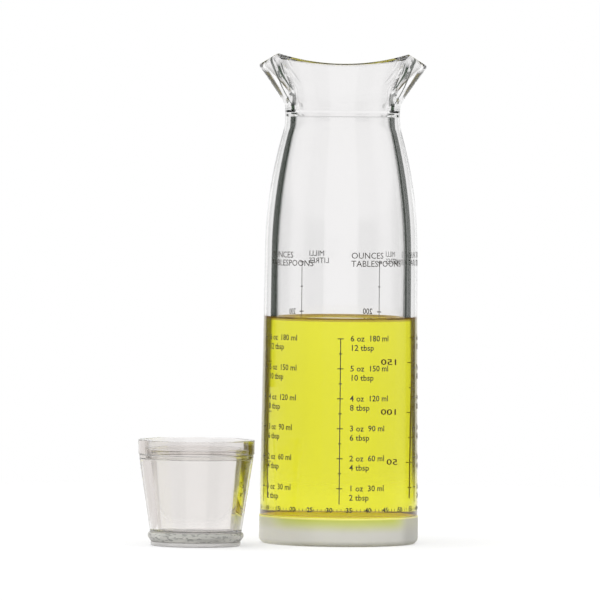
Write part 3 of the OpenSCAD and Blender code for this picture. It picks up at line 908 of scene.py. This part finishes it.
class SHAKER_OT_stage(bpy.types.Operator):
    """Set the pale floor, the white room with its side flags, the lamps and the camera"""
    bl_idname = "shaker.stage"
    bl_label = "Stage"

    def execute(self, context):
        scene, s = context.scene, context.scene.shaker_stage
        self.floor()
        self.card()
        self.room(scene, s)
        self.lamps()
        self.camera(scene, s)
        scene.view_settings.view_transform = "Standard"
        scene.cycles.max_bounces = scene.cycles.transmission_bounces = 32
        scene.cycles.glossy_bounces = 16
        return {"FINISHED"}

    def floor(self):
        deselect()
        bpy.ops.mesh.primitive_circle_add(vertices=96, radius=0.6, fill_type="NGON", location=(0, 0, 0))
        floor = bpy.context.object
        floor.name = "floor"
        floor.location.z = -0.05 * MM
        bpy.ops.object.transform_apply(location=True, rotation=True, scale=True)
        material, net = new_net("pale_floor")
        x, y, _ = net.parts(net.coordinates())
        away = (x * x + y * y).math("SQRT")
        fade = net.ramp(away, 0.25, 0.55)
        path = net.node("ShaderNodeLightPath", {})
        seen = Value(net, path.outputs["Is Camera Ray"]).math("MAXIMUM", Value(net, path.outputs["Is Glossy Ray"]))
        seen = seen.math("MAXIMUM", Value(net, path.outputs["Is Transmission Ray"]))
        mat = net.add("ShaderNodeBsdfDiffuse", {}, (0.5, 0.5, 0.5, 1))
        glow = net.add("ShaderNodeEmission", {}, (1, 1, 1, 1), seen * 0.5)
        lit = net.add("ShaderNodeAddShader", {}, mat, glow)
        gone = net.add("ShaderNodeBsdfTransparent", {})
        net.surface(net.add("ShaderNodeMixShader", {}, fade, lit, gone))
        floor.data.materials.append(material)

    def card(self):
        """A small white card at the left of the cup, which the camera doesn't see."""
        deselect()
        place = Vector((STOPPER[0] - 65 * MM, STOPPER[1] + 54 * MM, 32 * MM))
        facing = (Vector((STOPPER[0] - 20 * MM, STOPPER[1], 32 * MM)) - place).to_track_quat("Z", "Y")
        bpy.ops.mesh.primitive_plane_add(size=64 * MM, location=place, rotation=facing.to_euler())
        card = bpy.context.object
        card.name = "white_card"
        bpy.ops.object.transform_apply(location=True, rotation=True, scale=True)
        material, net = new_net("white_card")
        net.surface(net.add("ShaderNodeEmission", {}, (0.78, 0.75, 0.73, 1), 1.0))
        card.data.materials.append(material)
        card.visible_camera = card.visible_diffuse = card.visible_shadow = False

    def room(self, scene, s):
        world = bpy.data.worlds.new("white_room")
        scene.world = world
        net = Net(world)
        x, y, z = net.parts(net.coordinates("Generated"))
        side = x.math("ABSOLUTE").math("ARCTAN2", y.math("ABSOLUTE")) * (2 / math.pi)
        up = z.math("ARCSINE")
        level = net.ramp(up, math.radians(-10), math.radians(-6))
        level = level * (1.0 - net.ramp(up, math.radians(35), math.radians(60)))
        left_flag = self.flag(net, side, ((29, 1), (32, 0.05), (40, 0.02), (62, 0.02), (70, 0.5), (90, 0.8)))
        right_flag = self.flag(net, side, ((28, 1), (31, 0.12), (42, 0.09), (44, 0.2), (46, 0.05), (62, 0.05), (70, 0.5), (90, 0.8)))
        flags = net.mix(net.ramp(x, -0.05, 0.05), left_flag, right_flag)
        shade = net.mix(flags, (0.002, 0.012, 0.002, 1), (1, 1, 1, 1))
        path = net.node("ShaderNodeLightPath", {})
        camera, glossy, clear = [Value(net, path.outputs["Is %s Ray" % kind])
                                 for kind in ("Camera", "Glossy", "Transmission")]
        studio = net.mix(level, (1, 1, 1, 1), shade)
        mirrored = net.mix(net.ramp(y, -0.1, 0.3), (0.5, 0.5, 0.5, 1), studio)
        shine = net.mix(glossy, (1, 1, 1, 1), mirrored)
        light = net.mix(camera, net.mix(clear, shine, studio), (1, 1, 1, 1))
        net.surface(net.add("ShaderNodeBackground", {}, light, 1.0), "ShaderNodeOutputWorld")

    @staticmethod
    def flag(net, side, stops):
        """Brightness by the angle to the side, in degrees, of a dark card that stands there."""
        ramp = net.node("ShaderNodeValToRGB", {"stops": [(angle / 90, shade) for angle, shade in stops]}, side)
        return Value(net, ramp.outputs["Color"])

    def lamps(self):
        light = bpy.data.lights.new("soft_box", "AREA")
        light.size = 1.2
        light.energy = 6.0
        lamp = bpy.data.objects.new("soft_box", light)
        bpy.context.scene.collection.objects.link(lamp)
        lamp.location = (-0.4, -0.3, 1.5)
        lamp.rotation_euler = (-lamp.location).to_track_quat("-Z", "Y").to_euler()
        lamp.visible_glossy = False
        lamp.visible_transmission = False

    def camera(self, scene, s):
        data = bpy.data.cameras.new("camera")
        camera = bpy.data.objects.new("camera", data)
        scene.collection.objects.link(camera)
        camera.location = (s.aim_x, -s.distance, s.height)
        look = Vector((s.aim_x, 0, s.aim_z)) - camera.location
        level = look.to_track_quat("-Z", "Y").to_matrix()
        camera.rotation_euler = (level @ Matrix.Rotation(s.roll, 3, "Z")).to_euler()
        data.sensor_width = 36
        data.lens = 36 * look.length / s.view_w
        data.clip_end = 50
        scene.camera = camera


class SHAKER_PT_panel(bpy.types.Panel):
    bl_label = "Dressing Shaker"
    bl_idname = "SHAKER_PT_panel"
    bl_space_type = "VIEW_3D"
    bl_region_type = "UI"
    bl_category = "Shaker"

    def draw(self, context):
        for operator in OPERATORS:
            self.layout.operator(operator.bl_idname)
        for name in GROUPS:
            box = self.layout.box()
            group = getattr(context.scene, name)
            for key in group.__annotations__:
                box.prop(group, key)


GROUPS = {
    "shaker_bottle": BottleSizes,
    "shaker_lips": LipSizes,
    "shaker_fill": FillSizes,
    "shaker_cup": CupSizes,
    "shaker_print": PrintSizes,
    "shaker_finishes": Finishes,
    "shaker_stage": StageSettings,
}
OPERATORS = (SHAKER_OT_bottle_shell, SHAKER_OT_base_plug, SHAKER_OT_dressing, SHAKER_OT_measuring_scales,
             SHAKER_OT_stopper_cup, SHAKER_OT_stopper_rings, SHAKER_OT_stage)


def register():
    for item in (*GROUPS.values(), *OPERATORS, SHAKER_PT_panel):
        bpy.utils.register_class(item)
    for name, group in GROUPS.items():
        setattr(bpy.types.Scene, name, PointerProperty(type=group))


def unregister():
    for name in GROUPS:
        delattr(bpy.types.Scene, name)
    for item in reversed((*GROUPS.values(), *OPERATORS, SHAKER_PT_panel)):
        bpy.utils.unregister_class(item)


def main():
    register()
    bpy.ops.shaker.bottle_shell()
    bpy.ops.shaker.base_plug()
    bpy.ops.shaker.dressing()
    bpy.ops.shaker.measuring_scales()
    bpy.ops.shaker.stopper_cup()
    bpy.ops.shaker.stopper_rings()
    bpy.ops.shaker.stage()


if __name__ == "__main__":
    main()
